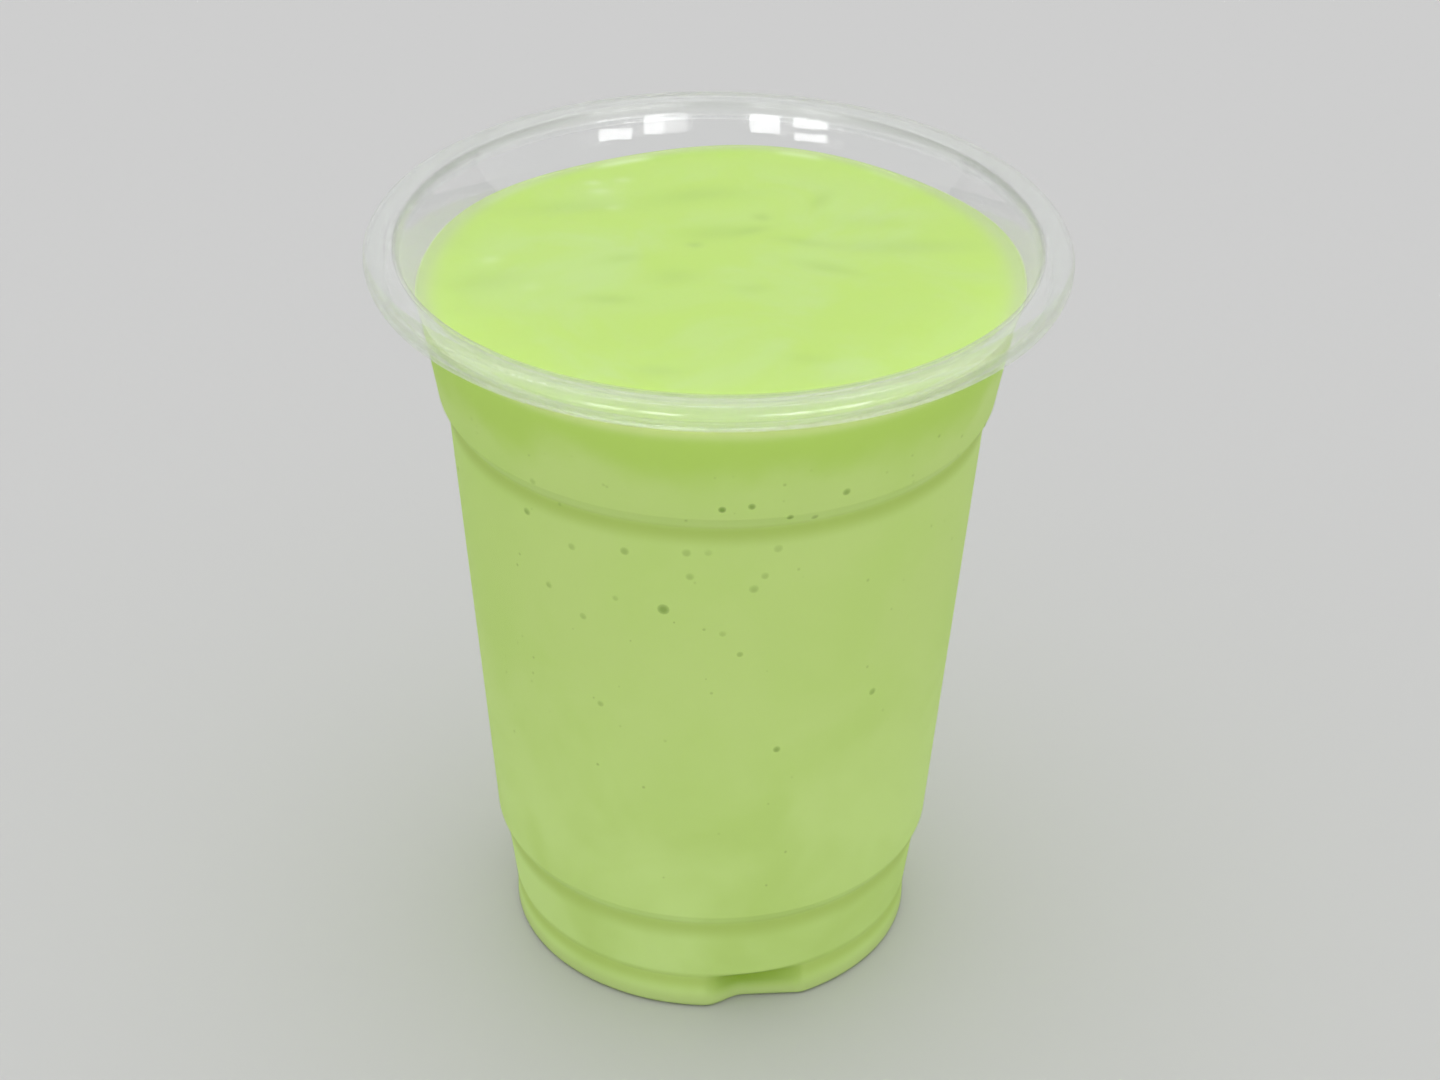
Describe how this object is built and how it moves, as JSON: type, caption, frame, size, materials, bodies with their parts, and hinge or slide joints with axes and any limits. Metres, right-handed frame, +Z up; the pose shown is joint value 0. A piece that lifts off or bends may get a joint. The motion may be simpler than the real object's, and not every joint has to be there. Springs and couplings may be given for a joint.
{
  "type": "plastic cup of avocado shake",
  "caption": "Clear thin-walled disposable cup with a curled brim and a notched foot, filled almost to the brim with pale green avocado shake.",
  "frame": {"origin": "the middle of the foot's ring, on the surface that the cup stands on", "axes": "+Z up along the cup's axis, from the foot to the brim; -Y is the front, a little left of one of the foot's notches"},
  "size_m": [0.095, 0.095, 0.1095],
  "materials": {
    "clear_plastic": "clear, smooth and glossy thin formed sheet",
    "avocado_shake": "opaque creamy pale green liquid, satin and faintly streaked, with small bubbles"
  },
  "bodies": {
    "root": {"cup": "clear_plastic", "avocado_shake": "avocado_shake"}
  },
  "joints": []
}
